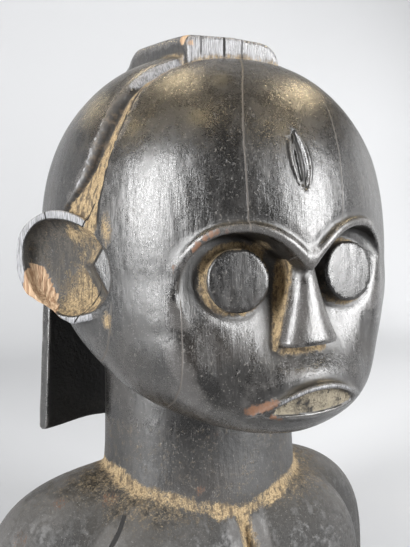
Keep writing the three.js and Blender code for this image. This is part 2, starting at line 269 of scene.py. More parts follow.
def back_ridge(x, y, z):
    reach = np.where(z > 0, RIDGE_TOP, RIDGE_LOW)
    power = np.where(z > 0, 2.8, 5.0)
    a, c = np.abs(y - RIDGE_MIDDLE) / RIDGE_RADIUS + 1e-5, np.abs(z) / reach + 1e-5
    wheel = ((a ** power + c ** power) ** (1 / power) - 1.0) * RIDGE_RADIUS
    return smooth_max(wheel, np.abs(x) - RIDGE_HALF, 3.0)


def nape_flap(x, y, z):
    half = FLAP_HALF - FLAP_SPREAD * z / FLAP_LOW
    curve = FLAP_BACK - FLAP_BEND * np.minimum(np.abs(x) / half, 1.2) ** 2.4
    slab = np.abs(y - curve + FLAP_INSET) - FLAP_HALF_THICK + 0.4 * knife_waves(x, y, z, 16.0, 9)
    slab = slab * np.where(np.abs(x) > 60.0, 0.86, 0.97)
    edge = 1.2 * knife_waves(x, y, z, 45.0, 11)
    ends = smooth_max(-FLAP_LOW - z + edge, z - FLAP_TOP, 2.0)
    square = (np.abs(x) - half) * 0.83 - (y - FLAP_EDGE) * 0.555
    return smooth_max(smooth_max(slab, square, 1.2), ends, 2.0)


def ear_frame(x, y, z):
    """Along the ear towards the face, up it, and into its bowl."""
    dx, dy = x - EAR_AT[0], y - EAR_AT[1]
    cos, sin = math.cos(EAR_TURN), math.sin(EAR_TURN)
    return dx * cos - dy * sin, z - EAR_AT[2], dx * sin + dy * cos


def torn_place(u, v):
    """Distance in from the torn chord of the rim, and how far the bare wood reaches in there."""
    inward = 0.515 * (u + 23.9) + 0.857 * (v + 14.3)
    along = 0.857 * (u + 23.9) - 0.515 * (v + 14.3)
    return inward, np.interp(along, [-5.0, 4.6, 12.0, 20.0, 26.0], [18.0, 13.9, 8.5, 3.5, 1.5])


def ear_break(u, v, w):
    splinter = 0.35 * knife_waves(u, w, 0.2 * v, 4.5, 21) + 0.5 * knife_waves(u, w, v, 12.0, 22)
    inward, _ = torn_place(u, v)
    return (inward - 0.5 * np.maximum(6.0 - w, 0.0)) * 0.9 + splinter


def ear_oval(u, v, left, right, tall, turn):
    """The skewed outline of ear or bowl, as a scaled place along and up."""
    along = u + turn * v
    return np.where(along > 0, along * left / right, along), v * left / tall


def ear_shell(u, v, w, broken):
    wobble = 0.6 * knife_waves(u, v, w, 24.0, 31)
    a, b = ear_oval(u, v, EAR_LEFT, EAR_RIGHT, EAR_TALL, 0.15)
    shell = egg(a, b, np.maximum(w, 0.0), EAR_LEFT, EAR_LEFT, EAR_DEPTH, 2.0, 2.15)
    shell = smooth_max(shell + wobble, -w + 0.25 * wobble, 0.7)
    return smooth_max(shell, -ear_break(u, v, w), 0.7) if broken else shell


def ear_bowl(u, v, w):
    a, b = ear_oval(u, v, BOWL_LEFT, BOWL_RIGHT, BOWL_TALL, 0.2)
    bowl = egg(a, b, np.maximum(w, 0.0), BOWL_LEFT, BOWL_LEFT, BOWL_DEPTH, 2.0, 3.8)
    return np.maximum(bowl + 0.3 * knife_waves(u, v, w, 14.0, 33), -27.0 - w)


def torn_slope(u, v, w):
    """The split face that fills the bowl's edge beside the torn rim."""
    inward, reach = torn_place(u, v)
    return (w - BOWL_DEPTH + 0.5 * (reach - inward)) * 0.89 + 0.25 * knife_waves(u, w, 0.2 * v, 4.0, 23)


def tragus(u, v, w):
    """A pointed tab on the face side, whose two walls slope down into the bowl."""
    sloped = u + 1.25 * w - 21.0
    upper, lower = 0.603 * (v - 0.4) - 0.797 * sloped, -0.445 * (v - 0.4) - 0.896 * sloped
    tab = np.maximum(smooth_max(upper, lower, 0.8), np.abs(v + 2.0) - 21.0)
    return smooth_max(np.maximum(tab, np.maximum(w - 10.5, u - 36.0)) * 0.7, -w + 0.1, 0.6)


def neck(x, y, z):
    swell = np.interp(z, [30.0, 84.0, 104.0, 140.0, 215.0], [1.03, 1.01, 0.99, 0.985, 1.0])
    column = egg(x, y + 2.0, np.zeros_like(z), NECK_HALF * swell, NECK_DEPTH * swell, 100.0, 2.1, 2.1)
    return np.maximum(column, z - NECK_TOP)


def channel(x, z):
    """Distance from the cut down the middle of the chest."""
    middle = 3.4 + 0.10 * (70.0 - z)
    return np.abs(x - middle)


def body(x, y, z):
    shoulders = egg(x + 6.0, y, z - SHOULDER_LIFT, SHOULDER_HALF, 50.0, SHOULDER_TALL, 2.2, 3.2)
    back = egg(x + 4.0, y - 14.0, z - SHOULDER_LIFT, 98.0, 50.0, 76.0, 2.3, 2.3)
    breasts = [
        egg(x - side * BREAST_X, y - BREAST_Y, z - BREAST_Z, BREAST_HALF, BREAST_HALF, BREAST_TALL, 2.3, 2.3)
        for side in (-1, 1)
    ]
    plate = egg(x - 1.0, y + 15.0, z - 20.0, 90.0, 55.0, 66.0, 2.6, 3.0)
    trunk = smooth_min(shoulders, back, 16.0)
    chest = smooth_min(plate, smooth_min(breasts[0], breasts[1], 3.0), 12.0)
    cut = channel(x, z)
    chest = chest + (y < 0) * (5.0 * hump(cut, 0.0, 4.2) + 1.6 * hump(cut, 0.0, 1.5))
    trunk = smooth_min(trunk, chest, 5.0)
    return smooth_min(trunk, neck(x, y, z), 3.0)


def with_brow_and_scar(form, x, y, z):
    """Adds the rolled brow and cuts the scar into the forehead."""
    front = y < -20.0
    line = brow_line(x, z)
    fade = ramp(z, -3.0, 12.0) * front
    roll = fade * (2.0 - 1.6 * ramp(x, 38.0, 52.0))
    form = form - roll * ramp(line, -1.2, 0.8) * (1 - ramp(line, 2.8, 5.4))
    form = form + fade * 0.5 * hump(line, 6.2, 2.0) * hump(x, 0.0, 26.0)
    share = np.clip(scar_share(x, z), -1.5, 1.0)
    cut = 1.7 * ramp(share, -0.05, 0.35) - 0.6 * hump(share, -0.32, 0.3) - 0.9 * ramp(share, 0.6, 0.95)
    return form + front * cut


def eye_discs(x, y, z):
    radius, behind = eye_frame(x, y, z)
    disc = smooth_max(radius - EYE_RADIUS, -behind + 0.002 * radius ** 2 - 0.4, 0.7)
    return np.maximum(disc, behind - EYE_DEPTH)


def with_mouth(form, x, y, z):
    """Raises the lips and opens the mouth as far as its crust."""
    lips = smooth_max(mouth_lens(x, z, 2.6), lip_round(x, y, z), 2.4)
    form = smooth_min(form, np.maximum(lips, y - FACE_BACK), 3.0)
    crust = 1.5 + 0.24 * (z - MOUTH_Z) + 0.18 * knife_waves(x, 0.0, 2.0 * z, 7.0, 41)
    opening = smooth_max(mouth_lens(x, z, 0.0), -(lip_round(x, y, z) + crust), 0.7)
    return smooth_max(form, -np.maximum(opening, y - FACE_BACK), 0.8)


def coiffure(x, y, z):
    hair = smooth_min(cap(x, y, z), back_ridge(x, y, z), 2.0)
    return smooth_min(hair, np.maximum(crest(x, y, z), CREST_FOOT - z), 1.6)


def with_ears(form, x, y, z):
    """Adds both ears, the figure's right one with its torn rim."""
    for mirror in (1, -1):
        u, v, w = ear_frame(mirror * x, y, z)
        form = smooth_min(form, ear_shell(u, v, w, mirror == 1), 2.0)
        bowl = ear_bowl(u, v, w)
        bowl = smooth_max(bowl, torn_slope(u, v, w), 0.6) if mirror == 1 else bowl
        form = smooth_max(form, -bowl, 1.0)
        form = smooth_min(form, tragus(u, v, w), 0.8)
    return form


def head(x, y, z):
    form = skull(x, y, z) - BLADE_DEPTH * knife_waves(x, y, z, 46.0, 1)
    form = form + 5.0 * ramp(x, 28.0, 62.0) * ramp(-y, 5.0, 45.0) * hump(z, -47.0, 25.0)
    form = with_brow_and_scar(form, x, y, z)
    outside_strip = np.maximum(before_edge(y, z) - strip_front(z), 20.0 - z)
    form = smooth_max(form, np.minimum(-outside_strip, ledge(x, y, z)), 0.6)
    low = ramp(-z, -2.0, 42.0)
    scoop = smooth_max(brow_line(x, z), y - face_floor(x, z), 3.0 + 9.0 * low)
    form = smooth_max(form, -scoop, 1.6 + 13.0 * low)
    form = smooth_min(form, eye_discs(x, y, z), 0.8)
    form = smooth_min(form, nose(x, y, z), 2.0)
    form = with_mouth(form, x, y, z)
    form = smooth_min(form, coiffure(x, y, z), 1.0)
    form = smooth_min(form, nape_flap(x, y, z), 2.0)
    return with_ears(form, x, y, z)


def carving(points):
    x, y, z = points[:, 0], points[:, 1], points[:, 2]
    trunk = body(x, y, z) - BLADE_DEPTH * knife_waves(x, y, z, 40.0, 3)
    figure = smooth_min(trunk, head(*to_head(points)), 3.0)
    return smooth_max(figure, -z, 1.2)


def slope_of(points, form, step=0.2):
    middle = form(points)
    ways = [(form(points + step * np.eye(3)[i]) - middle) / step for i in range(3)]
    return middle, np.stack(ways, axis=1)


# Mesh
def opened(mesh):
    shape = bmesh.new()
    shape.from_mesh(mesh)
    return shape


def closed(shape, mesh):
    shape.to_mesh(mesh)
    shape.free()


def link(thing):
    bpy.context.scene.collection.objects.link(thing)


def places(mesh):
    flat = np.empty(len(mesh.vertices) * 3, np.float32)
    mesh.vertices.foreach_get("co", flat)
    return flat.reshape(-1, 3).astype(float) / MM


def drawn_to(points, form, rounds, stride):
    for _ in range(rounds):
        outside, slope = slope_of(points, form)
        steep = np.maximum((slope ** 2).sum(1), 0.15)
        move = slope * (outside / steep)[:, None]
        length = np.linalg.norm(move, axis=1)[:, None]
        points = points - move * np.minimum(1.0, stride / np.maximum(length, 1e-9))
    return points


def settle(mesh, rounds, stride=1.4):
    """Moves each vertex onto the carved surface."""
    points = drawn_to(places(mesh), carving, rounds, stride)
    points[np.abs(points[:, 2]) < 0.35, 2] = 0.0
    mesh.vertices.foreach_set("co", (points * MM).astype(np.float32).ravel())
    mesh.update()


def relax(mesh, times):
    shape = opened(mesh)
    for _ in range(times):
        bmesh.ops.smooth_vert(
            shape, verts=shape.verts, factor=0.5, use_axis_x=True, use_axis_y=True, use_axis_z=True
        )
    closed(shape, mesh)


def fine_zone(points):
    """Where the carving is small enough to need finer faces."""
    x, y, z = to_head(points)
    face = (np.abs(x) < 60) & (z < 24) & (z > -84) & (brow_line(x, z) < 9) & (y < -72)
    scar = (np.abs(x) < 7) & (y < -60) & (np.abs(z - SCAR_Z) < 19)
    zone = face | scar
    for mirror in (1, -1):
        u, v, w = ear_frame(mirror * x, y, z)
        zone |= (np.hypot(u / 1.15, v) < 30) & (w > -3) & (w < 11)
    return zone


def count_triangles(shape):
    return sum(len(face.verts) - 2 for face in shape.faces)


def halve(shape, faces):
    edges = list({edge for face in faces for edge in face.edges})
    bmesh.ops.subdivide_edges(shape, edges=edges, cuts=1, use_grid_fill=True)


def refine(mesh):
    """Halves the faces where the surface bends most, as far as the triangles reach."""
    shape = opened(mesh)
    shape.normal_update()
    shape.faces.ensure_lookup_table()
    middles = np.array([face.calc_center_median() for face in shape.faces]) / MM
    zone = fine_zone(middles)
    bend = np.zeros(len(shape.faces))
    for edge in shape.edges:
        if len(edge.link_faces) == 2:
            turn = edge.calc_face_angle(0.0)
            for face in edge.link_faces:
                bend[face.index] = max(bend[face.index], turn)
    zone_bend = bend + zone * 0.25
    order = np.argsort(-zone_bend)
    room = (TRIANGLE_LIMIT - count_triangles(shape)) / 7.5
    worst = order[:max(0, int(room))]
    chosen = [shape.faces[i] for i in worst if middles[i, 2] > 1.0 and zone_bend[i] > 0.12]
    halve(shape, chosen)
    closed(shape, mesh)


def refine_marks(mesh):
    """Halves the faces of the scar and the ear's pointed tab again."""
    shape = opened(mesh)
    shape.faces.ensure_lookup_table()
    x, y, z = to_head(np.array([face.calc_center_median() for face in shape.faces]) / MM)
    u, v, w = ear_frame(x, y, z)
    marks = (scar_share(x, z) > -1.1) & (y < -60) & (np.abs(z - SCAR_Z) < 19)
    marks |= (np.abs(tragus(u, v, w)) < 1.6) & (w < 4.0) & (w > -2.0) & (u < 31.0)
    room = int((TRIANGLE_LIMIT - count_triangles(shape)) / 9)
    chosen = [shape.faces[i] for i in np.flatnonzero(marks)[:max(0, room)]]
    halve(shape, chosen)
    closed(shape, mesh)


def flat_base(mesh):
    shape = opened(mesh)
    base = [face for face in shape.faces if all(abs(vert.co.z) < 1e-6 for vert in face.verts)]
    bmesh.ops.dissolve_faces(shape, faces=base)
    shape.normal_update()
    for face in shape.faces:
        under = all(abs(vert.co.z) < 1e-6 for vert in face.verts)
        face.smooth = not under
        if under:
            for edge in face.edges:
                edge.smooth = False
    closed(shape, mesh)


def rough_block(node):
    """The CAD solid as an even closed mesh, ready for carving."""
    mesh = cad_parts[node].data.copy()
    shape = opened(mesh)
    bmesh.ops.remove_doubles(shape, verts=shape.verts, dist=1e-6)
    bmesh.ops.recalc_face_normals(shape, faces=shape.faces)
    lean = Matrix.Translation(Vector(HEAD_AT) * MM) @ Matrix.Rotation(-HEAD_LEAN, 4, "Y")
    core = bmesh.ops.create_icosphere(shape, subdivisions=5, radius=0.09, matrix=lean)["verts"]
    inner = drawn_to(np.array([vert.co / MM for vert in core]), skull_core, 8, 6.0)
    for vert, place in zip(core, inner):
        vert.co = place * MM
    for side in (1, -1):
        into = Vector((side * math.sin(EAR_TURN), math.cos(EAR_TURN), 0.0))
        middle = Vector((side * EAR_AT[0], EAR_AT[1], EAR_AT[2])) + into * 5.5
        disc = Matrix.Translation(middle * MM) @ into.to_track_quat("Z", "Y").to_matrix().to_4x4()
        bmesh.ops.create_cone(
            shape, cap_ends=True, segments=64, radius1=0.031, radius2=0.024, depth=0.013, matrix=lean @ disc
        )
    closed(shape, mesh)
    block = bpy.data.objects.new("carved_figure", mesh)
    link(block)
    remesh = block.modifiers.new("even", "REMESH")
    remesh.mode = "VOXEL"
    remesh.voxel_size = VOXEL * MM
    bpy.context.view_layer.update()
    even = bpy.data.meshes.new_from_object(block.evaluated_get(bpy.context.evaluated_depsgraph_get()))
    block.modifiers.clear()
    block.data = even
    return block


def give(mesh, name, values):
    attribute = mesh.attributes.new(name, "FLOAT", "POINT")
    attribute.data.foreach_set("value", np.clip(values, 0.0, 1.0).astype(np.float32))


def raised(mesh, rounds):
    """How far each vertex stands above the smoothed surface round it, in mm."""
    ends = np.empty(len(mesh.edges) * 2, np.int32)
    mesh.edges.foreach_get("vertices", ends)
    first, second = ends[::2], ends[1::2]
    points, count = places(mesh), len(mesh.vertices)
    links = np.bincount(first, minlength=count) + np.bincount(second, minlength=count)
    even = points.copy()
    for _ in range(rounds):
        for axis in range(3):
            total = np.bincount(first, even[second, axis], count)
            total += np.bincount(second, even[first, axis], count)
            even[:, axis] = 0.3 * even[:, axis] + 0.7 * total / links
    return ((points - even) * facing(mesh)).sum(1)


def spots(points, marks):
    """Soft round marks, each a place in mm, a radius and a strength."""
    total = np.zeros(len(points))
    for x, y, z, radius, strength in marks:
        away = np.linalg.norm(points - np.array((x, y, z)), axis=1)
        total = np.maximum(total, strength * (1 - ramp(away, 0.35 * radius, radius)))
    return total


def face_dust(x, y, z):
    """Ochre dust in the rings round the eyes, beside the nose and under it."""
    radius, behind = eye_frame(x, y, z)
    near = np.where(x < 0, 1.0, 0.62 + 0.3 * ramp(z, 3.0, 12.0) + 0.3 * hump(z, -22.0, 6.0))
    angle = np.arctan2(z - EYE_Z, x + EYE_X)
    drifts = 2.2 * hump(angle, 0.6, 0.8) + 1.0 * hump(angle, 2.3, 0.7) + 0.7 * hump(angle, -2.6, 0.6)
    wide = 1.5 + (x < 0) * drifts
    moat = hump(radius - EYE_RADIUS, 1.0, wide) * ramp(behind, 0.6, 1.8)
    moat = moat * (0.75 + 0.25 * ramp(wide, 1.6, 2.4))
    middle, half, _ = nose_width(z)
    on_floor = ramp(y, -92.0, -84.5)
    beside = hump(np.abs(x - middle) - half, 0.4, 2.1) * ramp(z, -41.0, -38.0)
    beside = beside * (1 - ramp(z, 5.0, 11.0)) * on_floor * np.where(x < 0, 1.0, 0.25)
    corner = hump(np.abs(x), 15.0, 4.2) * hump(z, 5.0, 8.0) * on_floor * (x < 0)
    under = 0.75 * hump(z, NOSE_BASE - 2.6, 2.4) * ramp(-np.abs(x), -16.0, -10.0) * ramp(y, -96.0, -90.0)
    return ramp(-y, 55.0, 70.0) * np.maximum.reduce([near * moat, beside, corner, under])


def coiffure_dust(x, y, z):
    """Dust on the ledge, along its crack and at the foot of the crest."""
    strip = before_edge(y, z) - cap_front(z)
    past_ledge = before_edge(y, z) - strip_front(z)
    inside = ramp(strip, 0.2, 1.6) * (1 - ramp(past_ledge, -0.6, 0.2))
    tall = np.interp(z, [16.0, 24.0, 55.0, 84.0, 100.0, 108.0], [0.0, 1.0, 0.95, 0.62, 0.8, 0.3])
    ledge_dust = inside * tall * ramp(strip, -0.5, 2.6 + 1.2 * ramp(z, 52.0, 62.0))
    ledge_dust = ledge_dust * (y < -15) * (y > -62) * (1 - ramp(skull(x, y, z), 0.6, 1.8))
    foot = hump(past_ledge, 0.8, 1.6) * ramp(z, 64.0, 76.0) * 0.85 * (y < -20) * (z < 112)
    top_seam = 0.5 * hump(crest(x, y, z) - cap(x, y, z), 0.0, 2.4) * ramp(z, 96.0, 104.0)
    top_seam = top_seam * (y > CREST_FRONT)
    front_seam = 0.6 * hump(y, CREST_FRONT - 1.0, 2.4) * hump(skull(x, y, z), 0.0, 2.2)
    front_seam = front_seam * (np.abs(x) < 29) * (z > 96)
    return np.maximum.reduce([ledge_dust, foot, top_seam, front_seam])


def ear_dust(x, y, z):
    """Dust in both bowls, on the tabs and on the head behind the ears."""
    ears = 0.0
    for mirror in (1, -1):
        u, v, w = ear_frame(mirror * x, y, z)
        inner = ramp(-ear_bowl(u, v, w), -0.9, -0.3) * ramp(w, 0.8, 2.2) * (np.hypot(u, v) < 36)
        low_right = ramp(u - 0.8 * v, -6.0, 26.0)
        tab = 1 - ramp(tragus(u, v, w), -0.1, 0.8)
        floor_dust = (0.22 + 0.50 * low_right) * (1 - tab)
        tab_dust = 0.55 * tab * ramp(v, -1.0, 3.0) * ramp(w, 1.0, 3.0)
        ears = np.maximum(ears, inner * np.maximum(floor_dust, tab_dust))
        behind_ear = 0.75 * hump(u, 31.0, 4.0) * hump(v, 17.0, 8.0)
        behind_ear = behind_ear + 0.7 * hump(u, 27.0, 4.0) * hump(v, -27.0, 6.0)
        ears = np.maximum(ears, behind_ear * (np.abs(w) < 12))
    return ears


def body_dust(points, low, up):
    """Dust round the neck's foot, in the chest's cut and loose on the shoulders."""
    px, py, pz = points[:, 0], points[:, 1], points[:, 2]
    column = neck(px, py, pz)
    patch = 0.45 + 0.45 * knife_waves(px, py, pz, 22.0, 61) + 0.5 * hump(px, -60.0, 18.0)
    patch = np.clip(patch + 0.3 * hump(px, 30.0, 26.0), 0.0, 1.0)
    collar = hump(column, 0.4, 2.0 + 4.0 * patch) * (0.3 + 0.7 * ramp(low, 0.05, 0.35))
    collar = collar * (0.46 + 0.34 * patch) * (pz > 55) * (pz < 125)
    scatter = 0.36 * up * ramp(-pz, -118.0, -108.0) * (0.55 + 0.6 * hump(column, 0.0, 26.0))
    middle_cut = hump(channel(px, pz), 0.0, 4.5) * (py < -25) * (pz < 76)
    jaw = 0.3 * hump(pz, 140.0, 10.0) * ramp(low, 0.3, 0.8)
    return np.maximum.reduce([collar, middle_cut, jaw, scatter])


def mark_ears(mesh, x, y, z):
    """Bright rims, torn bare wood and bowls of both ears, and the splits of the right one."""
    rim = raw = bowl = 0.0 * z
    for mirror in (1, -1):
        u, v, w = ear_frame(mirror * x, y, z)
        near = np.hypot(u, v) < 38
        out = ear_bowl(u, v, w)
        bowl = np.maximum(bowl, near * ramp(-out, -0.8, -0.1) * ramp(w, 0.6, 2.5))
        band = near * (1 - ramp(w, 0.6, 2.6)) * ramp(w, -2.2, -0.8) * (1 - ramp(u, 24.0, 32.0))
        band = band * (1 - ramp(out, 5.5, 7.5))
        band = np.maximum(band, 0.8 * near * ramp(-out, -9.0, -2.0) * (u < 4) * (w < 9) * (w > -1))
        rim = np.maximum(rim, band * ramp(out, 0.3, 1.0))
        rim = rim * ramp(skull(x, y, z), 0.5, 1.6)
        # The tab's outer face takes the silver grey too, a painted highlight
        on_tab = (1 - ramp(tragus(u, v, w), 0.0, 0.8)) * (1 - ramp(w, 0.7, 1.6)) * (w > -0.8) * (u < 33)
        rim = np.maximum(rim, 0.75 * near * on_tab * (1 - ramp(u, 27.0, 32.0)))
        if mirror == 1:
            inward, reach = torn_place(u, v)
            beside_rim = np.maximum(ramp(u + 21.8 + 0.19 * (3.8 - v), 0.0, 1.0), ramp(-v, 11.0, 13.0))
            raw = near * ramp(reach - inward, -0.5, 1.0) * beside_rim * (w > -1.0) * (w < 14.0) * (u < 3.0)
            raw = raw * (inward > -3.0) * ramp(skull(x, y, z), 1.0, 3.0)
            splits = ear_cracks(u, v)
            give(mesh, "ear_crack", 0.5 + 0.1 * np.clip(splits, -4.9, 4.9))
            on_rim = near * (w > -1.5) * (w < 12.0) * (np.abs(splits) < 3.0)
            give(mesh, "ear_crack_reach", on_rim * ear_crack_zone(u, v))
    return rim, raw, bowl


def mark_wear_and_painted_light(mesh):
    """Attributes for dust, edge wear and bare wood, and for painted highlights, glints and shade, read by the
    finish.
    """
    points = places(mesh)
    x, y, z = to_head(points)
    fine, broad = raised(mesh, 4), raised(mesh, 24)
    above = ramp(points[:, 2], 3.0, 9.0)
    low = np.clip(-broad / 1.1, 0.0, 1.0)
    way = facing(mesh)
    on_body = body_dust(points, low, ramp(way[:, 2], 0.35, 0.95))
    dust = [face_dust(x, y, z), coiffure_dust(x, y, z), ear_dust(x, y, z), on_body]
    give(mesh, "dust", np.maximum.reduce(dust) * above)
    radius, _ = eye_frame(x, y, z)
    off_disc = 1 - 0.9 * hump(radius, EYE_RADIUS - 0.5, 2.2) * (y < -70)
    wear_and_highlight = (np.clip(fine / 0.16, 0, 1) * 0.8 + 0.2 * np.clip(broad / 1.2, 0, 1)) * above * off_disc
    # Worn edges and the painted highlight patches share one lighter grey
    give(mesh, "wear_and_highlight", np.maximum(wear_and_highlight, spots(points, PAINTED_HIGHLIGHT_SPOTS)))
    give(mesh, "shade", low * above)
    give(mesh, "upward", ramp(way[:, 2], 0.25, 0.85) * above)
    rim, raw, bowl = mark_ears(mesh, x, y, z)
    # Silver grey: weathered wood on the ear rims and the top of the cap's wall, and painted highlight on the
    # ears' tabs, the crest's front face, the cap's edge line and the upper lip
    front_face = hump(y, CREST_FRONT, 3.0) * (z > 107) * (np.abs(x) < 28)
    strip = before_edge(y, z) - cap_front(z)
    wall = (1 - ramp(strip, -0.2, 4.0)) * ramp(strip, -1.6, -0.2)
    high_wall = wall * ramp(z, 88.0, 98.0) * (cap(x, y, z) < 1.5) * (y < -15) * (y > -60)
    edge_line = hump(strip, -2.3, 0.6) * hump(z, 62.0, 24.0) * ramp(fine, 0.02, 0.1)
    lip = 0.5 * front_lip(x, y, z)
    bright = [rim * (1 - raw), 0.5 * front_face, 0.85 * high_wall, 0.8 * edge_line, lip]
    give(mesh, "silver_and_highlight", np.maximum.reduce(bright))
    dark_wall = ramp(strip, -2.0, -1.0) * (1 - ramp(strip, 2.0, 5.0)) * (1 - ramp(z, 84.0, 92.0))
    give(mesh, "brown_wall", dark_wall * ramp(z, 26.0, 34.0) * (y < -15) * (y > -60))
    raw = np.maximum(raw, spots(points, RAW_SPOTS))
    give(mesh, "raw", raw)
    give(mesh, "bowl", bowl * (1 - raw))
    give(mesh, "rub", spots(points, RUB_SPOTS))
    # Painted warm glints on the forehead and temple
    give(mesh, "painted_glint", spots(points, PAINTED_GLINT_SPOTS))
    mouth = ramp(-mouth_lens(x, z, 0.0), -0.1, 1.0) * (y < -70) * ramp(lip_round(x, y, z), -9.0, -7.5)
    give(mesh, "crust", mouth * (1 - ramp(lip_round(x, y, z), -0.7, -0.1)))
    # The nape flap's inner face, turned to the neck, is painted dark: painted shade
    flap_face = (y > 66.0) * (z < 8.0) * (nape_flap(x, y, z) < 1.5) * (np.abs(x) > 30.0)
    inner_face = flap_face * (1 - ramp(np.abs(x) + FLAP_SPREAD * z / FLAP_LOW, 83.0, 85.0))
    give(mesh, "flap_shade", inner_face * ramp(-way[:, 1], -0.2, 0.4))
    give(mesh, "ledge_crack", crack_along_ledge(y, z))
    crack_reach = ramp(z, 23.0, 27.0) * (1 - ramp(z, 90.0, 97.0)) * (y < -15) * (skull(x, y, z) < 2.5)
    give(mesh, "crack_reach", crack_reach)


def ear_cracks(u, v):
    """Distance from the nearest of three splits, one across the bowl and two across the rim."""
    bowl_split = 0.755 * (u - 10.2) - 0.656 * (v + 23.0)
    rim_splits = [0.975 * u + 0.223 * v, 0.774 * u - 0.633 * v]
    on_rim = np.where(u < 6.0, rim_splits[0], rim_splits[1])
    return np.where(v > 10.0, on_rim, bowl_split)


def ear_crack_zone(u, v):
    along = 0.656 * (u - 10.2) + 0.755 * (v + 23.0)
    across_rim = (np.hypot(u, v) > 24.5) & (v > 10.0)
    return across_rim | ((v < 10.0) & (along > -6.0) & (along < 19.0))


def facing(mesh):
    ways = np.empty(len(mesh.vertices) * 3, np.float32)
    mesh.vertex_normals.foreach_get("vector", ways)
    return ways.reshape(-1, 3)


def front_lip(x, y, z):
    return hump(mouth_lens(x, z, 0.0), 1.3, 1.2) * ramp(z, -66.0, -60.0) * (y < -70)


def crack_along_ledge(y, z):
    """Half on the crack line, and a tenth more or less for each millimetre."""
    away = before_edge(y, z) - strip_front(z)
    return 0.5 + 0.1 * np.clip(away, -4.9, 4.9)


# Marks, as places on the wood in mm with a radius and a strength; some of them are painted highlights and
# painted glints
RAW_SPOTS = [(-36.4, -72.8, 335.0, 5.5, 0.9), (-34.0, -76.5, 331.0, 4.0, 0.7)]
# Painted highlights: lighter grey patches at the brow's V and on the forehead above the near brow, where the
# light falls bright
PAINTED_HIGHLIGHT_SPOTS = [
    (-2.5, -141.3, 221.0, 9.0, 0.75), (3.0, -141.5, 222.0, 6.0, 0.6), (-11.0, -139.4, 230.0, 10.0, 0.8),
]
RUB_SPOTS = [
    (-53.1, -125.3, 222.6, 2.6, 0.7), (-52.0, -126.4, 225.2, 2.6, 0.8), (-49.4, -128.1, 227.7, 2.6, 0.8),
    (-47.2, -129.5, 229.4, 2.6, 0.8), (-44.9, -130.9, 230.3, 2.4, 0.7), (-41.0, -132.6, 230.3, 2.4, 0.4),
    (-28.7, -126.5, 149.0, 3.2, 0.7), (-26.3, -128.0, 149.7, 3.6, 0.9), (-23.5, -130.2, 150.8, 3.6, 0.9),
    (-20.8, -132.2, 152.0, 3.4, 0.9), (-18.2, -134.0, 153.6, 3.0, 0.7), (-18.1, -131.5, 146.2, 2.8, 0.8),
    (-14.6, -131.4, 145.0, 2.8, 0.7), (-94.1, -19.5, 80.5, 8.0, 0.4), (-67.6, -30.1, 81.6, 9.0, 0.42),
    (-116.4, -19.5, 63.3, 9.0, 0.35), (-60.5, -117.4, 214.7, 2.6, 0.6), (-21.6, -53.8, 88.2, 5.0, 0.5),
    (-11.9, -55.2, 119.3, 3.0, 0.4),
]
# Painted glints: warm golden patches on the forehead and temple, where small warm lamps also shine
PAINTED_GLINT_SPOTS = [
    (-47.4, -94.5, 305.0, 13.0, 0.7), (7.0, -116.3, 298.7, 15.0, 0.7), (-45.2, -116.1, 283.0, 10.0, 0.8),
    (-70.2, -93.8, 280.1, 9.0, 0.8), (-12.4, -129.9, 277.3, 8.0, 0.6), (-81.5, -61.9, 295.9, 10.0, 0.5),
    (-30.0, -104.0, 302.0, 14.0, 0.7), (-88.0, -66.0, 280.0, 14.0, 0.4), (-95.0, -50.0, 262.0, 16.0, 0.25),
]

figure = rough_block("reliquary_figure")
settle(figure.data, 5, 2.4)
relax(figure.data, 2)
settle(figure.data, 3)
relax(figure.data, 1)
settle(figure.data, 2)
refine(figure.data)
relax(figure.data, 1)
settle(figure.data, 4)
refine_marks(figure.data)
settle(figure.data, 3, 0.6)
flat_base(figure.data)
figure.data.materials.clear()
mark_wear_and_painted_light(figure.data)
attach(figure, "root")
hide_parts("reliquary_figure")


# Finish
class Wire:
    """A shader value that takes part in sums."""

    def __init__(self, paint, socket):
        self.paint, self.socket = paint, socket

    def math(self, operation, *others):
        values = dict(enumerate((self,) + others))
        return self.paint.node("ShaderNodeMath", {"operation": operation}, values)

    def __add__(self, other):
        return self.math("ADD", other)

    def __sub__(self, other):
        return self.math("SUBTRACT", other)

    def __mul__(self, other):
        return self.math("MULTIPLY", other)

    def __pow__(self, other):
        return self.math("POWER", other)

    def __rsub__(self, other):
        return self.paint.node("ShaderNodeMath", {"operation": "SUBTRACT"}, {0: other, 1: self})

    __radd__, __rmul__ = __add__, __mul__


